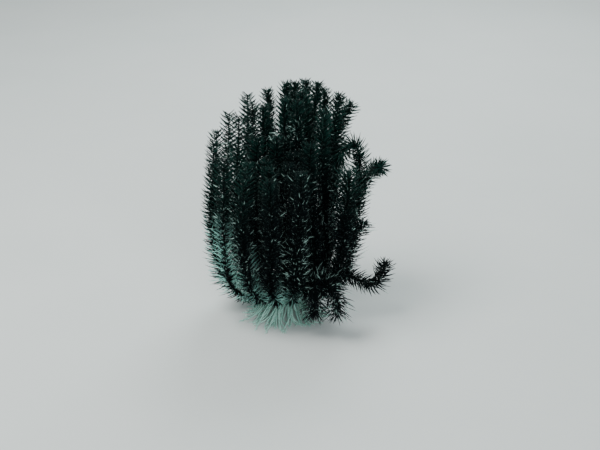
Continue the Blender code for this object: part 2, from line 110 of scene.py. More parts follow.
# %% [markdown]
# ## The routes of the forty arms
# A feather star holds its arms in layers, so that each one finds room: the outermost spread in a
# low skirt before they rise, and the innermost go nearly straight up. Four tiers copy that. Each
# arm is one cubic curve from a ring of stumps to its tip, with a slight sway. Seven arms leave
# the plan, as on the real animal, and have control points of their own. The solids follow the
# same routes, so the skin made here lies right over them.

# %% The plan of the arms
CUP_LOW = 21.3 * MM
CUP_HEIGHT = 5.4 * MM
BRANCH_RADII = (3.4 * MM, 16.5 * MM)
BRANCH_HEIGHTS = (23.7 * MM, 24.6 * MM)
RING_RADIUS = 27.0 * MM
TIER_PATTERN = (0, 1, 0, 2, 0, 1, 3, 0, 1, 2)
TIER_SPREAD = (1.0, 0.70, 0.42, 0.17)
TIER_RING_HEIGHT = (24.0 * MM, 26.5 * MM, 29.0 * MM, 30.5 * MM)
TIER_REACH = (39.0 * MM, 26.0 * MM, 14.0 * MM, 10.0 * MM)
TIER_LIFT_DEG = (-13.0, 14.0, 40.0, 58.0)
FRONT_LIFT_DEG = 32.0
LEFT_REACH = 0.30
LEFT_DROP_DEG = 8.0
BELLY = 0.98
LEFT_BELLY = 0.06
BUSH_HALF_WIDTH = 67.0 * MM
BUSH_HALF_DEPTH = 54.0 * MM
STUMP_PULL = 0.5
BELLY_RISE = 0.5
TIP_VARIES = (0.94, 1.02)
CROWN_MEAN = 175.0 * MM
CROWN_BACK = 25.0 * MM
CROWN_RIGHT = 4.0 * MM
CROWN_VARIES = 6.0 * MM
INNER_RISE = 6.0 * MM
GAP = 0.3 * MM


def arm_azimuth(k):
    """Where arm k leaves the ring, in degrees from +X towards +Y."""
    return FIRST_RAY_DEG - RAY_STEP_DEG / 2 + ARM_STEP_DEG * (k + 0.5)


def tier_of(k):
    return TIER_PATTERN[k % len(TIER_PATTERN)]


def tip_azimuth(k):
    """The arms of one tier share the circle evenly at their tips, close to where each starts."""
    mates = [i for i in range(ARMS) if tier_of(i) == tier_of(k)]
    step = 360.0 / len(mates)
    drift = sum(arm_azimuth(i) - step * n for n, i in enumerate(mates)) / len(mates)
    return drift + step * mates.index(k)


def crown_height(degrees):
    """The height of the tips: tallest at the back, lowest at the front."""
    angle = math.radians(degrees)
    return CROWN_MEAN + CROWN_BACK * math.sin(angle) + CROWN_RIGHT * math.cos(angle)


def ring_point(k):
    return polar(RING_RADIUS, arm_azimuth(k), TIER_RING_HEIGHT[tier_of(k)])


def branch_end(k):
    """The far end of the branch that forks into two arms, one of them arm k."""
    return polar(BRANCH_RADII[1], arm_azimuth(k // 2 * 2) + ARM_STEP_DEG / 2, BRANCH_HEIGHTS[1])


def stump_direction(k):
    return (ring_point(k) - branch_end(k)).normalized()


print("tiers of the first ten arms:", TIER_PATTERN)

# %% The curve of each arm
# Arms that leave the plan, each with its last three control points in millimetres
STRAY_ARMS = {
    # rises at the right edge and hooks in over the bush
    34: ((72, 4, 38), (74, 6, 226), (42, 2, 140)),
    # comes up behind that one and leans out to the right
    35: ((44, 20, 60), (74, 52, 128), (82, 0, 141)),
    # hangs down at the right and turns up at its end
    31: ((62, -20, 70), (80, -20, 2), (87, -16, 54)),
    # leans out over the hook at the crown
    37: ((55, 22, 56), (26, 41, 136), (57, 33, 188)),
    # ends low at the right edge
    32: ((60, -14, 14), (52, -16, 84), (68, -14, 94)),
    # two that hang forwards, low at the front right
    28: ((28, -44, 46), (46, -60, 66), (42, -56, 22)),
    27: ((16, -44, 44), (26, -64, 64), (22, -48, 19)),
}
# How far the ends of some arms in the plan stand off it, in millimetres
TIP_SHIFTS = {
    0: (-6, 0, -6), 1: (12, 0, 6), 2: (2, 0, 0), 3: (7, 14, 4), 4: (-9, 0, -3), 5: (6, 0, 2),
    7: (-3, 0, -4), 10: (0, 0, -7), 11: (0, 0, 7), 12: (0, 0, -4), 30: (-3, 0, -16),
    33: (4, 0, 12), 36: (-2, 0, 12), 38: (10, 0, 6), 39: (-8, 0, 2),
}
ARM_WAVE = 1.6 * MM
ARM_WAVES = (0.8, 1.5)
ARM_SAMPLES = 97


def arm_controls(k):
    """Four control points: out from the ring, a belly, and an upright end."""
    tier = tier_of(k)
    start = ring_point(k) + stump_direction(k) * GAP
    if k in STRAY_ARMS:
        return [start] + [Vector(point) * MM for point in STRAY_ARMS[k]]
    draw = random.Random(SEED * 100 + k)
    azimuth = tip_azimuth(k)
    angle = math.radians(azimuth)
    left = -math.cos(angle)
    spread = TIER_SPREAD[tier]
    outer = 1.0 if tier == 0 else 0.0
    lift = TIER_LIFT_DEG[tier] + outer * FRONT_LIFT_DEG * max(0.0, -math.sin(angle)) ** 2
    lift -= outer * LEFT_DROP_DEG * max(0.0, left)
    outward = polar(1.0, (arm_azimuth(k) + azimuth) / 2, math.tan(math.radians(lift)))
    way = (outward.normalized() + stump_direction(k) * STUMP_PULL).normalized()
    reach = TIER_REACH[tier] * (1.0 + outer * LEFT_REACH * left)
    foot = Vector((BUSH_HALF_WIDTH * math.cos(angle), BUSH_HALF_DEPTH * math.sin(angle), 0))
    foot *= spread
    height = crown_height(azimuth) + INNER_RISE * (1 - spread)
    height += CROWN_VARIES * draw.uniform(-1, 1)
    belly = foot * (BELLY + LEFT_BELLY * left) + Vector((0, 0, BELLY_RISE * height))
    tip = foot * draw.uniform(*TIP_VARIES) + Vector((0, 0, height))
    tip += Vector(TIP_SHIFTS.get(k, (0, 0, 0))) * MM
    return [start, start + way * reach, belly, tip]


def arm_route(k):
    """Points along arm k, from its root to its tip, with a slight sway to the sides."""
    controls = arm_controls(k)
    draw = random.Random(SEED * 1000 + k)
    phase = draw.uniform(0, 2 * math.pi)
    waves = draw.uniform(*ARM_WAVES)
    side = polar(1.0, tip_azimuth(k) + 90.0, 0.0)
    points = []
    for i in range(ARM_SAMPLES):
        t = i / (ARM_SAMPLES - 1)
        sway = ARM_WAVE * math.sin(2 * math.pi * waves * t + phase) * min(1.0, 3.0 * t * t)
        points.append(bezier(controls, t) + side * sway)
    return points


ROUTES = [arm_route(k) for k in range(ARMS)]
print("highest tip at", round(max(route[-1].z for route in ROUTES), 3))

# %% [markdown]
# ## Which way each feather faces
# A feather starts level, with the food groove on top, and ends upright. On the real animal it is
# also rolled to face the current, so at the sides of the bush it turns to the front. One level
# vector for each arm says how its feather stands. Made square to the arm at every point, it turns
# smoothly from the root to the tip, and never spins where the arm is upright. Two arms bend over
# in a plane that looks to the front, and their feathers lie in that plane.

# %% The facing of the arms
MOST_ROLL_DEG = 56.0
ROLL_VARIES_DEG = 13.0
FLAT_ARMS = (31, 34)


def square_to(vector, way):
    return (vector - way * vector.dot(way)).normalized()


def feather_line(k):
    """A level vector along the feather of arm k: round the bush, but rolled towards its front."""
    around = tip_azimuth(k) + 90.0
    off_front = (around + 90.0) % 180.0 - 90.0
    roll = max(-MOST_ROLL_DEG, min(MOST_ROLL_DEG, off_front))
    draw = random.Random(SEED * 300 + k)
    return polar(1.0, around - roll + ROLL_VARIES_DEG * draw.uniform(-1, 1), 0.0)


def ways_along(points):
    ways = [(b - a).normalized() for a, b in zip(points[:-1], points[1:])]
    return ways + ways[-1:]


def facings_of_arm(k):
    """The way to the left-hand pinnules at each point of arm k."""
    ways = ways_along(ROUTES[k])
    if k in FLAT_ARMS:
        return [Vector((0, -1, 0)).cross(way).normalized() for way in ways]
    return [square_to(feather_line(k), way) for way in ways]


FACINGS = [facings_of_arm(k) for k in range(ARMS)]
print("facings worked out for", len(FACINGS), "arms")

# %% [markdown]
# ## A shorthand for nodes
# Materials and Geometry Nodes are trees of small boxes joined by wires, and typed out in full, a
# sum takes four lines. Here a wire is a Python object, and a sign between two wires adds the Math
# node that it stands for. One method adds any other node: its settings first, then the values or
# wires of its sockets, so a tree reads like the formula that it is.

# %% Wires and trees
def pick(sockets, key):
    """The socket at a number, or the one in use with this identifier or name."""
    if isinstance(key, int):
        return sockets[key]
    return next(s for s in sockets if s.enabled and key in (s.identifier, s.name))


def signed(operation, swapped=False):
    """A method for one of Python's signs."""
    def method(self, other):
        return self.sign(operation, *((other, self) if swapped else (self, other)))
    return method


class Wire:
    """One output of a node, which Python's signs work on."""

    __add__ = __radd__ = signed("ADD")
    __mul__ = __rmul__ = signed("MULTIPLY")
    __sub__ = signed("SUBTRACT")
    __rsub__ = signed("SUBTRACT", swapped=True)
    __truediv__ = signed("DIVIDE")
    __mod__ = signed("MODULO")
    __pow__ = signed("POWER")
    __gt__ = signed("GREATER_THAN")
    __lt__ = signed("LESS_THAN")

    def __init__(self, bench, socket):
        self.bench = bench
        self.socket = socket

    def sign(self, operation, left, right):
        vectors = [w for w in (left, right) if isinstance(w, Wire) and w.socket.type == "VECTOR"]
        kind = "ShaderNodeVectorMath" if vectors else "ShaderNodeMath"
        plain = [w for w in (left, right) if w not in vectors and not isinstance(w, tuple)]
        if vectors and plain:
            values = {"Vector": vectors[0], "Scale": plain[0]}
            return self.bench.add(kind, {"operation": "SCALE"}, values)
        return self.bench.add(kind, {"operation": operation}, {0: left, 1: right})


class Bench:
    """A node tree under construction."""

    def __init__(self, tree):
        self.tree = tree

    def add(self, kind, settings=None, values=None, out=None):
        """Adds a node and gives one of its outputs: the first in use, or the one named."""
        node = self.tree.nodes.new(kind)
        for name, value in (settings or {}).items():
            setattr(node, name, value)
        for key, value in (values or {}).items():
            socket = pick(node.inputs, key)
            if isinstance(value, Wire):
                self.tree.links.new(value.socket, socket)
            else:
                socket.default_value = value
        used = [s for s in node.outputs if s.enabled]
        if not used:
            return node
        return Wire(self, pick(node.outputs, out) if out else used[0])

    def maths(self, operation, *values):
        return self.add("ShaderNodeMath", {"operation": operation}, dict(enumerate(values)))

    def part(self, vector, axis):
        """The X, Y or Z of a vector."""
        return self.add("ShaderNodeSeparateXYZ", None, {0: vector}, axis)

    def vector(self, **parts):
        return self.add("ShaderNodeCombineXYZ", None, parts)

    def fade(self, span, value):
        """The node for what the function fade works out."""
        values = {"Value": value, "From Min": span[0], "From Max": span[1]}
        return self.add("ShaderNodeMapRange", {"interpolation_type": "SMOOTHSTEP"}, values)

    def attribute(self, name, kind="FLOAT"):
        """A named value that the points of a mesh or curve carry."""
        return self.add("GeometryNodeInputNamedAttribute", {"data_type": kind}, {"Name": name})

    def store(self, geometry, name, value, kind="FLOAT", domain="POINT"):
        settings = {"data_type": kind, "domain": domain}
        values = {"Geometry": geometry, "Name": name, "Value": value}
        return self.add("GeometryNodeStoreNamedAttribute", settings, values)


print("signs of a wire: + - * / % ** > <")

# %% [markdown]
# ## Guides
# A guide is a mesh of bare edges. Its points carry numbers, such as the thickness of the arm, and
# a tree of Geometry Nodes turns it into the finished form. So Python decides where things go, and
# the tree decides what they look like. When the tree has run, its result is copied to a plain
# mesh and the modifier goes.

# %% Guides and the trees that dress them
def put(name, data):
    """A new object with this data, in the scene."""
    obj = bpy.data.objects.new(name, data)
    bpy.context.scene.collection.objects.link(obj)
    return obj


def guide_object(name, lines):
    """An object of edges from lines, each a list of (point, values) along one rod."""
    points, edges = [], []
    values = {key: [] for key in lines[0][0][1]}
    for line in lines:
        first = len(points)
        edges += [(first + i, first + i + 1) for i in range(len(line) - 1)]
        for point, carried_values in line:
            points.append(point + CALYX)
            for key, value in carried_values.items():
                values[key].append(value)
    mesh = bpy.data.meshes.new(name)
    mesh.from_pydata(points, edges, [])
    for key, column in values.items():
        vector = isinstance(column[0], Vector)
        attribute = mesh.attributes.new(key, "FLOAT_VECTOR" if vector else "FLOAT", "POINT")
        flat = [x for value in column for x in value] if vector else column
        attribute.data.foreach_set("vector" if vector else "value", flat)
    return put(name, mesh)


class Recipe(Bench):
    """A tree of Geometry Nodes with named inputs."""

    def __init__(self, name):
        super().__init__(bpy.data.node_groups.new(name, "GeometryNodeTree"))
        face = self.tree.interface
        face.new_socket("Geometry", in_out="INPUT", socket_type="NodeSocketGeometry")
        face.new_socket("Geometry", in_out="OUTPUT", socket_type="NodeSocketGeometry")
        self.titles = {}
        self.start = self.tree.nodes.new("NodeGroupInput")
        self.geometry = Wire(self, self.start.outputs[0])

    def input(self, title, kind="Float"):
        face = self.tree.interface
        socket = face.new_socket(title, in_out="INPUT", socket_type=f"NodeSocket{kind}")
        self.titles[title] = socket.identifier
        return Wire(self, pick(self.start.outputs, title))

    def resample(self, curve, title, value):
        """The curve cut anew, by the Length of a step or the Count of its points."""
        values = {"Curve": curve, title: value}
        return self.add("GeometryNodeResampleCurve", {"mode": title.upper()}, values)

    def circle(self, sides):
        values = {"Resolution": sides, "Radius": 1.0}
        return self.add("GeometryNodeCurvePrimitiveCircle", {"mode": "RADIUS"}, values, "Curve")

    def sweep(self, curve, ring, girth):
        """The skin that the ring draws as it runs along the curve, closed at both ends."""
        values = {"Curve": curve, "Profile Curve": ring, "Scale": girth, "Fill Caps": True}
        return self.add("GeometryNodeCurveToMesh", None, values)

    def finish(self, mesh, skin):
        """Ends the tree in smooth faces with their material."""
        mesh = self.add("GeometryNodeSetShadeSmooth", None, {"Geometry": mesh, "Shade Smooth": True})
        mesh = self.add("GeometryNodeSetMaterial", None, {"Geometry": mesh, "Material": skin})
        self.tree.links.new(mesh.socket, self.tree.nodes.new("NodeGroupOutput").inputs[0])

    def dress(self, guide, values):
        """Runs the tree on the guide, keeps the result as its mesh, and drops the modifier."""
        modifier = guide.modifiers.new(self.tree.name, "NODES")
        modifier.node_group = self.tree
        for title, value in values.items():
            modifier[self.titles[title]] = value
        bpy.context.view_layer.update()
        graph = bpy.context.evaluated_depsgraph_get()
        mesh = bpy.data.meshes.new_from_object(guide.evaluated_get(graph))
        guide.modifiers.clear()
        guide.data = mesh
        return guide


print("the trees read the numbers of a guide by name")

# %% [markdown]
# ## The colours of the living animal
# The arms are near black with a cold, slightly green tinge, and each joint has a thin paler line.
# Pinnules are the same black. Painted light makes them lighter and greener at the crown and the
# sides, where light falls, and a little lighter towards each tip, while the shaded middle of the
# bush stays darkest. Many tips carry a painted highlight, a small curved pale stroke, mostly low
# in the bush. At the lower left whole pinnules are pale turquoise on a dark arm. Noise breaks up
# each colour, because no living skin is even, and numbers carried by the mesh say which pinnule
# is pale, which has a painted highlight, and how far.

# %% Black skin of the arms
WET_SHEEN = 0.08


class Skin(Bench):
    """The tree of one material."""

    def __init__(self, name):
        self.material = bpy.data.materials.new(name)
        self.material.use_nodes = True
        super().__init__(self.material.node_tree)
        self.tree.nodes.clear()

    def place(self):
        return self.add("ShaderNodeTexCoord", None, None, "Object")

    def grain(self, scale, detail=3.0):
        """Even noise in the space of the object, about 0.5 in the mean."""
        values = {"Vector": self.place(), "Scale": scale, "Detail": detail, "Roughness": 0.55}
        return self.add("ShaderNodeTexNoise", None, values)

    def carried(self, *names):
        """The numbers that the mesh carries under these names."""
        kind = "ShaderNodeAttribute"
        return [self.add(kind, {"attribute_name": name}, None, "Fac") for name in names]

    def blend(self, factor, a, b):
        """A colour between two others."""
        values = {"Factor": factor, "A": a, "B": b}
        return self.add("ShaderNodeMix", {"data_type": "RGBA"}, values)

    def finish(self, colour, roughness, bump_height, bump_distance):
        """Ends the tree in one Principled shader with these wires, and gives the material."""
        bump = {"Height": bump_height, "Distance": bump_distance, "Strength": 1.0}
        values = {"Base Color": colour, "Roughness": roughness, "Specular IOR Level": WET_SHEEN}
        values["Normal"] = self.add("ShaderNodeBump", None, bump)
        shader = self.add("ShaderNodeBsdfPrincipled", None, values)
        self.add("ShaderNodeOutputMaterial", None, {"Surface": shader})
        return self.material


def make_arm_skin():
    skin = Skin("black_arm_skin")
    mottle = skin.grain(260.0)
    fine = skin.grain(2600.0, 2.0)
    groove, tone = skin.carried("groove", "tone")
    dark = (0.0004, 0.0014, 0.0016, 1.0)
    cold = (0.0014, 0.0060, 0.0062, 1.0)
    line = (0.006, 0.016, 0.016, 1.0)
    colour = skin.blend(mottle * (tone + 0.4), dark, cold)
    colour = skin.blend(groove * (mottle * 0.8), colour, line)
    return skin.finish(colour, mottle * 0.25 + 0.30, fine * 0.6 + mottle * 0.4, 0.12 * MM)


ARM_SKIN = make_arm_skin()
print("material:", ARM_SKIN.name)

# %% Skin of the pinnules
# Spans of the painted light at the crown and sides, of the painted highlight near each glinting tip, and of
# the pale turquoise beyond the root
PAINTED_LIGHT_SPAN = (0.13, 0.21)
PAINTED_GLINT_ENDS = (0.92, 1.02)
PALE_BEYOND_ROOT = (0.14, 0.55)


def make_pinnule_skin():
    skin = Skin("pinnule_skin")
    along, glint, pale, tone = skin.carried("along", "painted_glint", "pale", "tone")
    mottle = skin.grain(700.0)
    dark = (0.0007, 0.0026, 0.0032, 1.0)
    cold = (0.0025, 0.0080, 0.0098, 1.0)
    # Painted light: the lighter green where light falls on the crown and the sides
    painted_lit_green = (0.0115, 0.0650, 0.0500, 1.0)
    # Painted highlight: the pale colour of the glinting pinnule tips
    tip = (0.50, 0.74, 0.67, 1.0)
    turquoise = (0.46, 0.94, 0.83, 1.0)
    place = skin.place()
    # Painted light: lighter and greener up the crown and out to the sides, and a little lighter towards
    # each tip, over a random tone; the shaded middle stays darkest
    aside = skin.maths("ABSOLUTE", skin.part(place, "X"))
    painted_light_mask = skin.fade(PAINTED_LIGHT_SPAN, skin.part(place, "Z") + aside)
    black = skin.blend(tone * (mottle * 0.6 + along * 0.5), dark, skin.blend(painted_light_mask, cold, painted_lit_green))
    # Painted highlight: a pale stroke at the tip of each glinting pinnule
    lit = skin.fade(PAINTED_GLINT_ENDS, along + glint * 0.32)
    with_painted_glints = skin.blend(lit * (glint * 0.6 + 0.4) * (mottle * 0.6 + 0.6), black, tip)
    outer = skin.fade(PALE_BEYOND_ROOT, along)
    colour = skin.blend(pale * outer * (mottle * 0.4 + tone + 0.25), with_painted_glints, turquoise)
    joints = skin.maths("SINE", along * 88.0) * 0.5 + 0.5
    return skin.finish(colour, mottle * 0.2 + 0.45, joints * 0.7 + mottle * 0.3, 0.08 * MM)


PINNULE_SKIN = make_pinnule_skin()
print("material:", PINNULE_SKIN.name)

# %% [markdown]
# ## Jointed rods
# Arms, forks and cirri are strings of small bony joints, so one tree makes all three. It turns
# each line of the guide into a curve, cuts it into three steps for every joint, and sweeps a ring
# along it. The first step of each joint is pinched, which leaves a fine groove round the rod and
# gives real joints for no more faces. The ring is dented where an arm has its food groove.

# %% The tree of the jointed rod
def make_jointed_rod():
    recipe = Recipe("jointed rod")
    joint = recipe.input("Joint length")
    sides = recipe.input("Sides", "Int")
    pinch = recipe.input("Pinch")
    dent = recipe.input("Food groove")
    skin = recipe.input("Skin", "Material")
    curve = recipe.add("GeometryNodeMeshToCurve", None, {"Mesh": recipe.geometry})
    curve = recipe.resample(curve, "Length", joint / 3.0)
    facing = recipe.attribute("facing", "FLOAT_VECTOR")
    curve = recipe.add(
        "GeometryNodeSetCurveNormal", {"mode": "FREE"}, {"Curve": curve, "Normal": facing}
    )
    index = recipe.add("GeometryNodeSplineParameter", None, None, "Index")
    step = index % 3.0
    at_joint = recipe.maths("COMPARE", step, 0.0, 0.1)
    at_middle = recipe.maths("COMPARE", step, 1.0, 0.1)
    girth = recipe.attribute("girth") * (1.0 - at_joint * pinch + at_middle * (pinch * 0.4))
    curve = recipe.store(curve, "groove", at_joint)
    place = recipe.add("GeometryNodeInputPosition")
    upper = recipe.maths("MAXIMUM", recipe.part(place, "Y"), 0.0)
    dented = {"Geometry": recipe.circle(sides), "Position": place * (1.0 - upper * upper * dent)}
    ring = recipe.add("GeometryNodeSetPosition", None, dented)
    mesh = recipe.sweep(curve, ring, girth)
    recipe.finish(recipe.add("GeometryNodeRealizeInstances", None, {"Geometry": mesh}), skin)
    return recipe


JOINTED_ROD = make_jointed_rod()
print("inputs:", list(JOINTED_ROD.titles))

# %% [markdown]
# ## Skin and joints of the arms
# An arm is about two hundred millimetres long and three thick at its root, and its joints are one
# millimetre each. The arms are made in eight pieces of five, so that no piece grows too heavy.
# Each takes the place of the plain solids of its five arms.

# %% The arms
JOINT = 1.0 * MM
ARM_RADII = (1.45 * MM, 0.50 * MM)
STUMP_RADIUS = 1.5 * MM
STUMP_LENGTH = 1.0 * MM
ARMS_PER_PIECE = 5
# An arm that stands alone at the right, with long pinnules up to its tip
FULL_ARM = 30
# Pinnules begin past the bare root, are full grown further on, and shrink over the end
BARE_SHARE = 0.035
ROOT_GROWN = 0.62
FULL_SHARE = 0.22
END_SHARE = 0.7
END_LENGTH = 0.3
LAST_SHARE = 0.97
LAST_FALL = 14.0
# The ceiling of the pale zone in millimetres, how far it rises to the left and from arm to arm
PALE_CEILING = 50
CEILING_RISES = 42
CEILING_VARIES = 36
BACK_DIMS = 0.8
INNER_TIER_PALE = 0.7
# The share of pinnules with a painted highlight on the tip, least and more low down, and two places
# (middle, radius) with many
PAINTED_GLINT_SHARES = (0.03, 0.20)
PAINTED_GLINT_SPOTS = (((1, 0, 172), 15, 0.46), ((2, -52, 68), 17, 0.26))
TUFTS_LONGER = 0.35
AIRY = (0.12, 0.88)


def grown_at(share, tip_fade):
    """How long the pinnules are at a share of the arm: short at the root and at the very end."""
    if share <= BARE_SHARE:
        return 0.0
    grown = min(1.0, ROOT_GROWN + share / FULL_SHARE * (1.0 - ROOT_GROWN))
    grown *= 1.0 - tip_fade * max(0.0, share - END_SHARE) / END_LENGTH
    return grown * (1.0 - LAST_FALL * max(0.0, share - LAST_SHARE))


def paleness(point, tier, lot):
    """How pale turquoise the pinnules are here: low on the outer arms, most of all at the left."""
    ceiling = PALE_CEILING + CEILING_RISES * zone(point, left=(30, 58)) + CEILING_VARIES * (lot - 0.55)
    side = zone(point, left=(16, 34), up=(ceiling + 10, ceiling - 22))
    skirt = lot * zone(point, left=(-22, 4), front=(-30, 10), out=(16, 30), up=(46, 28))
    lit = 1.0 - BACK_DIMS * zone(point, back=(-6, 36))
    return (1.0 if tier == 0 else INNER_TIER_PALE) * max(side, skirt) * lit


def painted_glint_chance(point, shine):
    """The share of pinnules with a painted highlight on the tip: more low in the bush and on arms that
    shine.
    """
    chance = shine * (PAINTED_GLINT_SHARES[0] + PAINTED_GLINT_SHARES[1] * zone(point, up=(170, 60)))
    for middle, radius, more in PAINTED_GLINT_SPOTS:
        chance += more * zone(point - Vector(middle) * MM, out=(1.2 * radius, 0.5 * radius))
    return chance


def tufted(point):
    """Pinnules are longer at the lower left corner, in the bay at the right, and on the hem there."""
    corner = zone(point, left=(42, 54), up=(50, 30))
    bay = zone(point, right=(26, 42), up=(70, 95)) * zone(point, right=(68, 52), up=(160, 135))
    hem = zone(point, right=(8, 20), front=(26, 40), up=(62, 44))
    return 1.0 + TUFTS_LONGER * max(corner, bay, hem)


def arm_line(k):
    """The points of arm k from inside its fork to its tip, with what each carries."""
    draw = random.Random(SEED * 500 + k)
    tone, tip_fade, lot = draw.uniform(0.2, 1.0), draw.uniform(0.04, 0.24), draw.uniform(0.35, 1.0)
    # How strongly the pinnules of this arm carry painted highlights
    shine = draw.uniform(0.35, 1.0) ** 3.0 * 2.6
    stray = k in STRAY_ARMS
    full = stray or k == FULL_ARM
    same = {
        "tone": tone,
        "row": (k % ARMS_PER_PIECE + 0.5) / ARMS_PER_PIECE,
        "open": 1.0 if stray else 0.0,
        "airy": 0.0 if full else AIRY[0] + AIRY[1] * zone(ROUTES[k][-1], left=(14, 42)),
    }
    bare = {"girth": STUMP_RADIUS, "facing": FACINGS[k][0]}
    bare.update(dict.fromkeys(("share", "grown", "pale", "glint"), 0.0))
    stump = branch_end(k) - stump_direction(k) * STUMP_LENGTH
    line = [(stump.lerp(ROUTES[k][0], part), {**bare, **same}) for part in (0.0, 0.5)]
    for i, point in enumerate(ROUTES[k]):
        share = i / (ARM_SAMPLES - 1)
        values = {
            "girth": between(ARM_RADII, share**1.1),
            "facing": FACINGS[k][i],
            "share": share,
            "grown": grown_at(share, 0.0 if full else tip_fade) * tufted(point),
            "pale": paleness(point, tier_of(k), lot),
            "glint": painted_glint_chance(point, shine),
        }
        line.append((point, {**values, **same}))
    return line


def nodes_of_arm(k):
    """The solids of arm k: one, or two where it bends most."""
    return sorted(name for name in frame["nodes"] if name.startswith(f"arm_{k + 1:02d}"))


def members(number):
    """The arms in the piece of this number."""
    return range((number - 1) * ARMS_PER_PIECE, number * ARMS_PER_PIECE)


ARM_LINES = [arm_line(k) for k in range(ARMS)]
PIECES = range(1, ARMS // ARMS_PER_PIECE + 1)
ARM_SIZES = {"Joint length": JOINT, "Sides": 8, "Pinch": 0.13, "Food groove": 0.3, "Skin": ARM_SKIN}
faces = 0
for number in PIECES:
    guide = guide_object(f"arms_{number}", [ARM_LINES[k] for k in members(number)])
    piece = JOINTED_ROD.dress(guide, ARM_SIZES)
    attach(piece, "root")
    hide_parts(*[name for k in members(number) for name in nodes_of_arm(k)])
    faces += len(piece.data.polygons)
print("faces of the arms:", faces)

# %% [markdown]
# ## Pinnules
# Pinnules stand to the left and right of an arm in turn, about eleven millimetres long and one
# thick. They are planted in three passes. One is an open comb in the plane of the feather, regular
# and of full length. The other two fill the space before and behind it with shorter, wilder ones,
# which close the bush, and thin out near the arm tips at the left, where light comes through. All
# thirty thousand follow one rule, so a small spine is modelled in the tree and placed at every
# station along the arms. Its length points out and forwards, and its back faces the tip of the
# arm. Numbers drawn with a fixed seed vary its length, lean, curl and colour. The spines are made
# real before they are curled, because each has a curl of its own.

# %% How the pinnules are placed
SPINE_SIDES = 4
SPINE_STEPS = 5
FLOOR_ROOM = 1.6 * MM
# How far the wildest pinnule strays from the rule, down and up, and the number of its draw
STRAYS = {
    "lean": (-0.30, 0.30, 1),
    "spread": (-0.20, 0.18, 2),
    "length": (-0.24, 0.12, 3),
    "curl": (-0.5, 0.5, 4),
    "sideways": (-1.0, 1.0, 5),
}
# Strength of the painted highlights, and how much more the pinnules that carry them hook and how much
# thinner they are
GLINT_STRENGTHS = (0.3, 1.0)
GLINT_HOOK = 0.5
GLINT_THINNER = 0.3
PALE_THINNER = 0.36
WIDTHS = (0.85, 1.1)
FLATNESS = 0.9
LEAST_GROWN = 0.25
LATE_SHARE = 0.75
NEAR_TIP = (0.72, 0.96)
UV_MARGIN = 0.02
UV_ROW = 0.03


def make_spine(recipe):
    """A tapering spine one unit long on +Z, with the share of its length on every point."""
    ends = {"Start": (0, 0, 0), "End": (0, 0, 1)}
    line = recipe.add("GeometryNodeCurvePrimitiveLine", None, ends)
    line = recipe.resample(line, "Count", SPINE_STEPS)
    factor = recipe.add("GeometryNodeSplineParameter", None, None, "Factor")
    line = recipe.store(line, "along", factor)
    taper = (1.0 - factor * 0.24) * (1.0 - factor ** 12.0 * 0.76)
    around = recipe.add("GeometryNodeInputIndex") / SPINE_SIDES
    return recipe.sweep(line, recipe.store(recipe.circle(SPINE_SIDES), "around", around), taper)


def kept_off_floor(recipe, grows, size):
    """Lifts the direction of a pinnule that would else reach through the floor."""
    root = recipe.part(recipe.add("GeometryNodeInputPosition"), "Z")
    missing = (FLOOR_ROOM - root - recipe.part(grows, "Z") * size) / size
    return grows + recipe.vector(Z=recipe.maths("MAXIMUM", missing, 0.0))


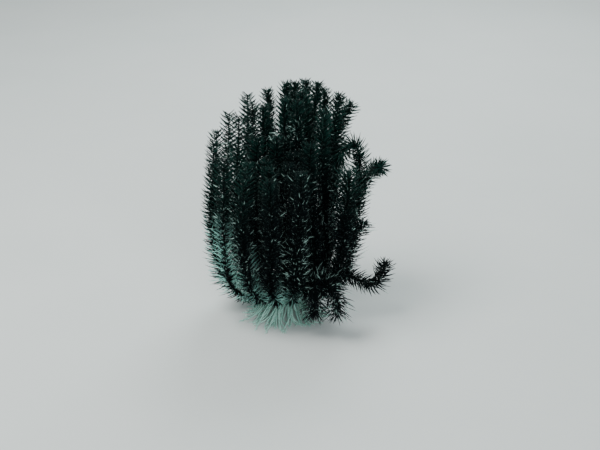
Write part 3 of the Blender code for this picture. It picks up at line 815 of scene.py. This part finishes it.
def plant(recipe, curve, sizes, row, seed):
    """Spines along the arms: left and right in turn, each side with an inner and an outer row."""

    def draw(number, low=0.0, high=1.0):
        """A number for each pinnule, the same on every run."""
        values = {"Min": low, "Max": high, "Seed": seed + row["first draw"] + number}
        return recipe.add("FunctionNodeRandomValue", {"data_type": "FLOAT"}, values)

    def stray(name, rule=0.0):
        low, high, number = STRAYS[name]
        return draw(number, rule + low * row["wild"], rule + high * row["wild"])

    way = recipe.add("GeometryNodeInputTangent")
    facing = recipe.attribute("facing", "FLOAT_VECTOR")
    oral_side = recipe.add("ShaderNodeVectorMath", {"operation": "CROSS_PRODUCT"}, {0: way, 1: facing})
    index = recipe.add("GeometryNodeInputIndex")
    hand = 1.0 - index % 2.0 * 2.0
    inner = recipe.maths("COMPARE", index % 4.0, 1.5, 0.6)
    share = recipe.attribute("share")
    lean = sizes[row["fan"]] * (1.0 - inner * 2.0) + stray("lean")
    across = facing * (hand * recipe.maths("COSINE", lean)) + oral_side * recipe.maths("SINE", lean)
    late = recipe.maths("MAXIMUM", (share - LATE_SHARE) / (1.0 - LATE_SHARE), 0.0)
    late = late * (1.0 - recipe.attribute("open"))
    angle = between((sizes["Spread"], sizes["Spread at the tip"]), late) + stray("spread")
    grows = way * recipe.maths("COSINE", angle) + across * recipe.maths("SINE", angle)
    size = recipe.attribute("grown") * sizes["Length"] * row["reach"] * stray("length", 1.0)
    grows = kept_off_floor(recipe, grows, size)
    turn = recipe.add(
        "FunctionNodeAxesToRotation", {"primary_axis": "Z", "secondary_axis": "X"},
        {"Primary Axis": grows, "Secondary Axis": way},
    )
    bend = (way + oral_side * stray("sideways")) * (sizes["Curl"] * size * stray("curl", 1.0))
    # Some pinnules are drawn to carry a painted highlight at the tip
    lucky = draw(6) < recipe.attribute("glint")
    hooked = recipe.add(
        "FunctionNodeRandomValue", {"data_type": "FLOAT_VECTOR"},
        {"Min": (-1, -1, -1), "Max": (1, 1, 1), "Seed": seed + row["first draw"] + 11},
    )
    bend = bend + hooked * (lucky * size * GLINT_HOOK)
    curve = recipe.store(curve, "bend", bend, "FLOAT_VECTOR")
    curve = recipe.store(curve, "painted_glint", lucky * draw(7, *GLINT_STRENGTHS))
    curve = recipe.store(curve, "pale", recipe.attribute("pale") * (draw(10) > row["kept dark"]))
    curve = recipe.store(curve, "tone", draw(8))
    place = recipe.vector(
        X=share * (1.0 - 2.0 * UV_MARGIN) + UV_MARGIN,
        Y=recipe.attribute("row") + hand * (inner * UV_ROW + UV_ROW),
    )
    curve = recipe.store(curve, "patch", place, "FLOAT_VECTOR")
    width = sizes["Radius"] * row["width"] * draw(9, *WIDTHS)
    width = width * (1.0 - lucky * GLINT_THINNER) * (1.0 - recipe.attribute("pale") * PALE_THINNER)
    left_out = recipe.fade(NEAR_TIP, share) * recipe.attribute("airy") * row["thinned"]
    planted = {
        "Points": curve,
        "Selection": (recipe.attribute("grown") > LEAST_GROWN) * (draw(12) > left_out),
        "Instance": make_spine(recipe),
        "Rotation": turn,
        "Scale": recipe.vector(X=width, Y=width * FLATNESS, Z=size),
    }
    return recipe.add("GeometryNodeInstanceOnPoints", None, planted)


print("each station along an arm scales and turns one spine")

# %% The tree of the pinnules
PINNULE_SIZES = {
    "Spacing of the comb": 1.05 * MM,
    "Spacing of the filling": 0.46 * MM,
    "Length": 11.4 * MM,
    "Radius": 0.55 * MM,
    "Spread": math.radians(77),
    "Spread at the tip": math.radians(66),
    "Narrow fan": math.radians(15),
    "Wide fan": math.radians(46),
    "Deep fan": math.radians(76),
    "Curl": 0.36,
    "Patch size": 0.003,
}
PASS_TRAITS = ("fan", "spacing", "reach", "width", "wild", "kept dark", "thinned", "first draw")
PASSES = (
    ("Deep fan", "Spacing of the filling", 0.78, 1.0, 0.8, 0.62, 0.85, 40.0),
    ("Wide fan", "Spacing of the filling", 0.86, 1.0, 0.7, 0.50, 0.70, 20.0),
    ("Narrow fan", "Spacing of the comb", 1.0, 0.85, 0.22, 0.08, 0.0, 0.0),
)


def make_pinnule_recipe():
    recipe = Recipe("pinnules")
    sizes = {title: recipe.input(title) for title in PINNULE_SIZES}
    seed = recipe.input("Seed", "Int")
    skin = recipe.input("Skin", "Material")
    curve = recipe.add("GeometryNodeMeshToCurve", None, {"Mesh": recipe.geometry})
    every = recipe.add("GeometryNodeJoinGeometry")
    for traits in PASSES:
        row = dict(zip(PASS_TRAITS, traits))
        stations = recipe.resample(curve, "Length", sizes[row["spacing"]])
        spines = plant(recipe, stations, sizes, row, seed)
        recipe.tree.links.new(spines.socket, every.socket.node.inputs[0])
    spines = recipe.add("GeometryNodeRealizeInstances", None, {"Geometry": every})
    along = recipe.attribute("along")
    offset = recipe.attribute("bend", "FLOAT_VECTOR") * (along * along)
    spines = recipe.add("GeometryNodeSetPosition", None, {"Geometry": spines, "Offset": offset})
    around = recipe.attribute("around")
    patch = sizes["Patch size"]
    on_patch = recipe.vector(X=(around - 0.5) * patch, Y=(along - 0.5) * patch)
    where = recipe.attribute("patch", "FLOAT_VECTOR") + on_patch
    recipe.finish(recipe.store(spines, "OFBake", where, "FLOAT2", "CORNER"), skin)
    return recipe


PINNULES = make_pinnule_recipe()
faces = []
for number in PIECES:
    guide = guide_object(f"pinnules_{number}", [ARM_LINES[k] for k in members(number)])
    given = {**PINNULE_SIZES, "Seed": SEED * 10 * number, "Skin": PINNULE_SKIN}
    piece = PINNULES.dress(guide, given)
    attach(piece, "root")
    faces.append(len(piece.data.polygons))
print("faces of the pinnules:", faces)

# %% [markdown]
# ## Cirri and their button
# The cirri are the legs: slender, jointed, pale, and each ends in a small claw. They leave the
# sides of a low button, arch over and run out along the floor. Twenty of them are in the solids.
# Sixty finer and wavier ones grow between them in small clusters, crowded and longest at the
# front left, where the animal shows them.

# %% Skin of the cirri
def make_cirrus_skin():
    skin = Skin("pale_cirrus_skin")
    groove, tone, share = skin.carried("groove", "tone", "share")
    mottle = skin.grain(420.0)
    fine = skin.grain(2400.0, 2.0)
    pale = (0.76, 1.00, 0.90, 1.0)
    green = (0.42, 0.86, 0.72, 1.0)
    joint = (0.08, 0.20, 0.17, 1.0)
    colour = skin.blend(mottle * 0.7 + tone * 0.4, pale, green)
    colour = skin.blend((1.0 - share) * (1.0 - share) * 0.75, colour, joint)
    colour = skin.blend(groove * 0.75, colour, joint)
    return skin.finish(colour, mottle * 0.2 + 0.38, fine * 0.6 + mottle * 0.4, 0.1 * MM)


CIRRUS_SKIN = make_cirrus_skin()
print("material:", CIRRUS_SKIN.name)

# %% The routes of the cirri
CIRRI = 20
CIRRUS_RADII = (0.95 * MM, 0.55 * MM)
CIRRUS_REACH = 45.0 * MM
CIRRUS_ARCH = 19.5 * MM
CIRRUS_FLOOR = 0.62 * MM
CIRRUS_SAMPLES = 26
# How far before its end, and how high, the claw passes, in millimetres
CLAW = ((4.5, 0.7), (3.0, 1.15), (1.7, 1.6), (0.7, 1.5), (0.1, 0.9), (0.0, 0.45))
CLAW_LENGTH = 6.0 * MM
CLAW_TURN_DEG = 2.0
CENTRODORSAL_LOW = 16.0 * MM
BUTTON_MIDDLE = CENTRODORSAL_LOW + 2.8 * MM
FINE_CIRRI = 60
FINE_CIRRUS_RADII = (0.84 * MM, 0.48 * MM)
# The fine cirri crowd round one side, and are longest at another near it
CROWDED_DEG = 240.0
HALF_TURN_DEG = 115.0
LONGEST_DEG = 252.0
FINE_REACH = (38.0, 55.0)


def cirrus_points(azimuth, bend, reach, root_height, arch):
    """Out of the button, over a low arch, along the floor, and up into a hooked claw."""
    controls = [
        polar(3.0 * MM, azimuth, root_height),
        polar(reach * 0.45, azimuth, arch),
        polar(reach * 0.62, (azimuth + bend) / 2, CIRRUS_FLOOR * 1.6),
        polar(reach - CLAW_LENGTH, bend, CIRRUS_FLOOR),
    ]
    points = [bezier(controls, i / (CIRRUS_SAMPLES - 1)) for i in range(CIRRUS_SAMPLES)]
    for before, height in CLAW:
        points.append(polar(reach - before * MM, bend + CLAW_TURN_DEG, height * MM))
    return points


def cirrus_line(points, radii, tone):
    """The points of one cirrus with what each carries. The claw tapers to a point."""
    side = (points[1] - points[0]).cross(Vector((0, 0, 1))).normalized()
    facings = [square_to(side, way) for way in ways_along(points)]
    last = len(points) - 1
    line = []
    for i, point in enumerate(points):
        share = i / last
        girth = between(radii, share) * min(1.0, 0.16 + (last - i) * 0.21)
        line.append((point, {"girth": girth, "facing": facings[i], "share": share, "tone": tone}))
    return line


def solid_cirrus(n):
    """The same course as cirrus n of the solids."""
    draw = random.Random(SEED * 77 + n)
    azimuth = 360.0 * n / CIRRI + draw.uniform(-3.5, 3.5)
    upper = n % 2
    reach = CIRRUS_REACH * draw.uniform(0.86, 1.08) * (1.0 if upper else 0.84)
    bend = azimuth + draw.uniform(-9, 9)
    root_height = CENTRODORSAL_LOW + (3.6 if upper else 2.0) * MM
    arch = CIRRUS_ARCH - (0.0 if upper else 4.0) * MM
    points = cirrus_points(azimuth, bend, reach, root_height, arch)
    return cirrus_line(points, CIRRUS_RADII, draw.random())


def fine_cirrus(n):
    """One of the thinner cirri between them, crowded towards the front."""
    draw = random.Random(SEED * 91 + n)
    turn = (n - n % 4 + 2.0) / FINE_CIRRI * 2.0 - 1.0
    azimuth = CROWDED_DEG + HALF_TURN_DEG * turn * abs(turn) ** 0.5 + draw.uniform(-5, 5)
    front = max(0.0, math.cos(math.radians(azimuth - LONGEST_DEG)))
    reach = between(FINE_REACH, front) * MM * draw.uniform(0.55, 1.06)
    bend = azimuth + draw.uniform(-24, 24)
    points = cirrus_points(azimuth, bend, reach, BUTTON_MIDDLE, draw.uniform(12, 25) * MM)
    side = polar(draw.uniform(1.0, 3.0) * MM, azimuth + 90.0, 0.0)
    phase, waves = draw.uniform(0, 6.28), draw.uniform(5.0, 9.0)
    last = len(points) - 1
    points = [p + side * (i / last) * math.sin(phase + waves * i / last) for i, p in enumerate(points)]
    return cirrus_line(points, FINE_CIRRUS_RADII, draw.random())


CIRRUS_LINES = [solid_cirrus(n) for n in range(CIRRI)] + [fine_cirrus(n) for n in range(FINE_CIRRI)]
CIRRUS_JOINT = 1.5 * MM
CIRRUS_SIZES = {"Joint length": CIRRUS_JOINT, "Sides": 8, "Pinch": 0.2, "Food groove": 0.0}
cirri = guide_object("cirri", CIRRUS_LINES)
JOINTED_ROD.dress(cirri, {**CIRRUS_SIZES, "Skin": CIRRUS_SKIN})
print("faces of the cirri:", len(cirri.data.polygons))

# %% The button
def in_metres(profile):
    return [(radius * MM, height * MM) for radius, height in profile]


def lathe(name, profile, segments, shape_at, skin):
    """A closed turned form: profile is (radius, height) from the bottom of the axis to the top."""
    turns = [360.0 * i / segments for i in range(segments)]
    points = [shape_at(polar(radius, turn, z), turn) for radius, z in profile[1:-1] for turn in turns]
    points += [Vector((0, 0, profile[end][1])) for end in (0, -1)]
    last_ring = len(points) - 2 - segments
    sides = [(i, (i + 1) % segments) for i in range(segments)]
    faces = []
    for n in range(0, last_ring, segments):
        faces += [(i + n, j + n, j + n + segments, i + n + segments) for i, j in sides]
    faces += [(j, i, len(points) - 2) for i, j in sides]
    faces += [(i + last_ring, j + last_ring, len(points) - 1) for i, j in sides]
    mesh = bpy.data.meshes.new(name)
    mesh.from_pydata([point + CALYX for point in points], [], faces)
    mesh.shade_smooth()
    mesh.materials.append(skin)
    return put(name, mesh)


def join(into, other):
    """Adds the mesh of other to the object into, and removes other."""
    shape = bmesh.new()
    shape.from_mesh(into.data)
    shape.from_mesh(other.data)
    shape.to_mesh(into.data)
    shape.free()
    bpy.data.objects.remove(other)


DIMPLES_IN_ROW = 10.0
DIMPLE_ROW = 0.9 * MM
DIMPLE_WIDTH = 0.8 * MM
DIMPLE_DEPTH = 0.18 * MM


def pitted(point, degrees):
    """The button is dimpled in two rows, where the cirri have their sockets."""
    row = math.cos(math.radians(degrees * DIMPLES_IN_ROW))
    height = point.z - BUTTON_MIDDLE
    off_row = (abs(height) - DIMPLE_ROW) / DIMPLE_WIDTH
    dimple = row * math.copysign(1.0, height) * math.exp(-(off_row ** 2))
    return point + away_from_axis(point) * (DIMPLE_DEPTH * dimple)


BUTTON_PROFILE = [(0, 16.0), (1.4, 16.05), (2.6, 16.2), (3.5, 16.6), (4.1, 17.2), (4.6, 17.9),
                  (5.0, 18.6), (5.3, 19.3), (5.5, 20.0), (5.5, 20.6), (5.0, 20.95), (0, 21.0)]
join(cirri, lathe("button", in_metres(BUTTON_PROFILE), 80, pitted, CIRRUS_SKIN))
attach(cirri, "root")
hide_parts("centrodorsal")
print("button and cirri in one piece:", len(cirri.data.polygons), "faces")

# %% [markdown]
# ## Cup and forks
# Over the button sits the cup, a ring of five bony plates, and from it the rays fork out flat.
# The tree of the arms makes them too, and a turned form with five creases makes the cup.

# %% Forks and cup
BRANCH_THICKNESS = (1.9 * MM, 2.2 * MM)
BRANCH_STEPS = 8
BRANCH_JOINT = 1.7 * MM
BRANCH_SIZES = {"Joint length": BRANCH_JOINT, "Sides": 12, "Pinch": 0.12, "Food groove": 0.0}
CREASE_DEPTH = 0.45 * MM
CREASE_WIDTH_DEG = 2.6


def branch_line(k):
    """The branch from the cup to the fork of arms k and k + 1."""
    end = branch_end(k)
    foot = away_from_axis(end) * BRANCH_RADII[0]
    foot.z = BRANCH_HEIGHTS[0]
    side = (end - foot).cross(Vector((0, 0, 1))).normalized()
    line = []
    for i in range(BRANCH_STEPS + 1):
        share = i / BRANCH_STEPS
        values = {"girth": between(BRANCH_THICKNESS, share), "facing": side, "share": share, "tone": 0.5}
        line.append((foot.lerp(end, share), values))
    return line


def off_ray(degrees):
    """The angle from the nearest of the five rays."""
    return (degrees - FIRST_RAY_DEG + RAY_STEP_DEG / 2) % RAY_STEP_DEG - RAY_STEP_DEG / 2


def creased(point, degrees):
    """Each plate of the cup has a crease along its ray."""
    depth = CREASE_DEPTH * math.exp(-((off_ray(degrees) / CREASE_WIDTH_DEG) ** 2))
    return point - away_from_axis(point) * depth


cup = guide_object("cup", [branch_line(k) for k in range(0, ARMS, 2)])
JOINTED_ROD.dress(cup, {**BRANCH_SIZES, "Skin": ARM_SKIN})
CUP_PROFILE = [(0, 21.3), (4.9, 21.35), (5.5, 21.7), (6.2, 22.6), (6.5, 22.9), (7.2, 23.8),
               (7.9, 24.8), (8.4, 25.5), (8.9, 26.2), (8.8, 26.6), (0, 26.65)]
join(cup, lathe("plates", in_metres(CUP_PROFILE), 90, creased, ARM_SKIN))
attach(cup, "root")
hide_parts(*[f"ray_{n}" for n in range(1, RAYS + 1)])
print("cup and forks:", len(cup.data.polygons), "faces")

# %% [markdown]
# ## The disc
# The soft body lies over the forks as a low leathery dome. Five food grooves run in from the arms
# and meet at the mouth in its middle, and beside the mouth stands a short tube with a toothed
# rim. Both are turned forms. The points of the dome are pushed down along the grooves and
# roughened with noise, which makes the folds real and not only painted.

# %% Skin of the disc
def make_disc_skin():
    skin = Skin("dark_disc_skin")
    mottle = skin.grain(330.0, 4.0)
    cells = {"Vector": skin.place(), "Scale": 900.0}
    warts = 1.0 - skin.add("ShaderNodeTexVoronoi", {"feature": "F1"}, cells)
    hollow = skin.carried("hollow")[0]
    dark = (0.006, 0.010, 0.010, 1.0)
    grey = (0.030, 0.042, 0.040, 1.0)
    groove = (0.090, 0.135, 0.125, 1.0)
    colour = skin.blend(mottle * mottle * 2.0, dark, grey)
    colour = skin.blend(hollow * 0.7, colour, groove)
    return skin.finish(colour, mottle * 0.3 + 0.28, warts * 0.7 + mottle * 0.3, 0.25 * MM)


DISC_SKIN = make_disc_skin()
print("material:", DISC_SKIN.name)

# %% The dome and its tube
DISC_RADIUS = 18.0 * MM
DISC_HEIGHT = 6.5 * MM
DISC_LOBES = 0.07
DISC_RINGS = 26
DISC_FLOOR = CUP_LOW + CUP_HEIGHT + GAP
GROOVE_FORKS = (6 * MM, 17 * MM)
GROOVE_FORK_DEG = 7.5
GROOVE_WIDTH = 0.75 * MM
GROOVE_DEPTH = 0.9 * MM
MOUTH_RADIUS = 2.0 * MM


def groove_depth(point):
    """1 in the middle of a food groove and 0 away from it."""
    distance = math.hypot(point.x, point.y)
    off = off_ray(math.degrees(math.atan2(point.y, point.x)))
    branch = GROOVE_FORK_DEG * fade(GROOVE_FORKS, distance)
    nearest = min(abs(off - branch), abs(off + branch))
    across = nearest * math.radians(1.0) * max(distance, MOUTH_RADIUS)
    return math.exp(-((across / GROOVE_WIDTH) ** 2))


def folded(point, degrees):
    """The lobes, grooves and folds of the dome."""
    lobe = math.cos(RAYS * math.radians(degrees - FIRST_RAY_DEG))
    scale = 1.0 - DISC_LOBES * lobe
    moved = Vector((point.x * scale, point.y * scale, point.z))
    rise = (point.z - DISC_FLOOR) / DISC_HEIGHT
    moved.z -= rise * GROOVE_DEPTH * groove_depth(point)
    moved.z += rise * 0.5 * MM * noise.noise(point * 420.0) + rise * 0.22 * MM * noise.noise(point * 1300.0)
    return moved


dome = [(0, DISC_FLOOR), (DISC_RADIUS * 0.94, DISC_FLOOR + 0.02 * MM)]
for step in range(1, DISC_RINGS):
    angle = math.pi / 2 * step / DISC_RINGS
    dome.append((DISC_RADIUS * math.cos(angle) ** 0.85, DISC_FLOOR + DISC_HEIGHT * math.sin(angle)))
dome.append((0, DISC_FLOOR + DISC_HEIGHT * 0.93))
disc = lathe("disc_skin", dome, 150, folded, DISC_SKIN)

# The tube beside the mouth
TUBE_FOOT = Vector((2.5 * MM, -1.5 * MM, 0))
TUBE_RIM = 39 * MM
TUBE_TEETH = 9.0
TOOTH_LENGTH = 0.9 * MM
TUBE_PROFILE = [
    (0, 30.0), (2.9, 30.0), (2.8, 31.0), (2.55, 32.0), (2.4, 33.0), (2.25, 34.0), (2.1, 35.0), (1.95, 36.0),
    (1.85, 37.0), (1.75, 38.0), (1.7, 39.0), (1.6, 39.8), (1.25, 39.9), (0.9, 39.2), (0.7, 37.5), (0, 37.0),
]


def toothed(point, degrees):
    """The tube is ringed with folds and ends in small teeth."""
    tooth = math.cos(math.radians(degrees * TUBE_TEETH))
    rise = TOOTH_LENGTH * zone(point, up=(31, 40)) * max(0.0, tooth) if point.z > TUBE_RIM else 0.0
    fold = 1.0 + 0.05 * math.sin(point.z / (0.55 * MM)) + 0.06 * tooth
    return Vector((point.x * fold, point.y * fold, point.z + rise))


tube = lathe("tube", in_metres(TUBE_PROFILE), 72, toothed, DISC_SKIN)
tube.data.transform(Matrix.Translation(TUBE_FOOT))
join(disc, tube)
hollow = disc.data.attributes.new("hollow", "FLOAT", "POINT")
hollow.data.foreach_set("value", [groove_depth(v.co - CALYX) for v in disc.data.vertices])
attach(disc, "root")
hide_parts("disc")
print("disc:", len(disc.data.polygons), "faces")

# %% [markdown]
# ## Floor, light and camera
# The floor is plain and pale. A soft light from high at the left shapes the animal, a wider one
# from the front opens the shadows, and one from behind draws the edges of the feathers, because a
# black form needs light on its rim most. The camera looks down at twenty-five degrees through a
# long lens.

# %% Floor
def make_floor_finish():
    finish = Skin("pale_floor")
    cloud = finish.grain(9.0)
    fine = finish.grain(800.0, 2.0)
    colour = finish.blend(cloud, (0.62, 0.66, 0.65, 1.0), (0.68, 0.71, 0.70, 1.0))
    return finish.finish(colour, cloud * 0.1 + 0.7, fine, 0.03 * MM)


FLOOR_HALF = 4.0
corners = [(x * FLOOR_HALF, y * FLOOR_HALF, 0) for x, y in ((-1, -1), (1, -1), (1, 1), (-1, 1))]
floor_mesh = bpy.data.meshes.new("floor")
floor_mesh.from_pydata(corners, [], [(0, 1, 2, 3)])
floor_mesh.materials.append(make_floor_finish())
floor = put("floor", floor_mesh)
print("floor", 2 * FLOOR_HALF, "metres wide")

# %% Light
def soft_light(name, place, aim, size, power, colour):
    """A square area light of this size that looks at a point."""
    data = bpy.data.lights.new(name, "AREA")
    data.size = size
    data.energy = power
    data.color = colour
    lamp = put(name, data)
    lamp.location = place
    lamp.rotation_euler = (Vector(aim) - Vector(place)).to_track_quat("-Z", "Y").to_euler()


MIDDLE = (0, 0, 0.09)
soft_light("key", (-0.50, -0.15, 1.10), MIDDLE, 0.6, 13.0, (1.0, 1.0, 0.97))
soft_light("fill", (0.40, -1.30, 0.75), MIDDLE, 0.7, 10.0, (0.90, 0.98, 1.0))
soft_light("rim", (0.25, 0.9, 0.9), MIDDLE, 0.6, 11.0, (0.92, 1.0, 1.0))
world = bpy.data.worlds.new("studio")
world.use_nodes = True
background = world.node_tree.nodes["Background"]
background.inputs["Color"].default_value = (0.86, 0.94, 0.95, 1.0)
background.inputs["Strength"].default_value = 0.40
bpy.context.scene.world = world

# %% Camera
TILT = math.radians(25)
DISTANCE = 1.24
LOOK_AT = Vector((0, 0.0423, 0.0906))
camera_data = bpy.data.cameras.new("camera")
camera_data.sensor_width = 36.0
camera_data.lens = 80.0
camera_data.shift_x = 0.02
camera_data.shift_y = -0.0435
camera = put("camera", camera_data)
forward = Vector((0, math.cos(TILT), -math.sin(TILT)))
camera.location = LOOK_AT - forward * DISTANCE + CALYX
camera.rotation_euler = (math.pi / 2 - TILT, 0, 0)
bpy.context.scene.camera = camera
print("camera at", [round(x, 3) for x in camera.location])
